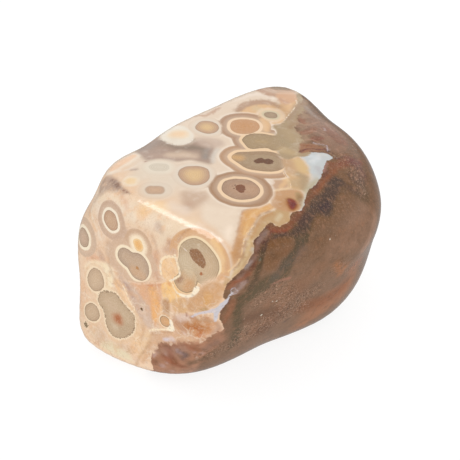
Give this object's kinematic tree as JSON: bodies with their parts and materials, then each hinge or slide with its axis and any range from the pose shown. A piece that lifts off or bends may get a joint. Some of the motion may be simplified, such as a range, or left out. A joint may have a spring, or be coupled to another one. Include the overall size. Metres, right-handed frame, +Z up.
{
  "type": "tumbled ocean jasper stone",
  "caption": "Loose tumble-polished pebble of banded orbicular jasper, a rounded block with broad soft faces that rests on a flat underside.",
  "frame": {"origin": "middle of the underside of the stone's bounding box, on the surface that it rests on", "axes": "+X along the stone's length, towards the brown far end; +Y towards the back; +Z up from the flat underside"},
  "size_m": [0.041, 0.0272, 0.025],
  "materials": {
    "jasper": "tumble-polished, glossy, cream and tan orbs with cream and grey rings on one side, rust brown speckled stone on the other"
  },
  "bodies": {
    "root": {"tumbled_stone": "jasper"}
  },
  "joints": []
}
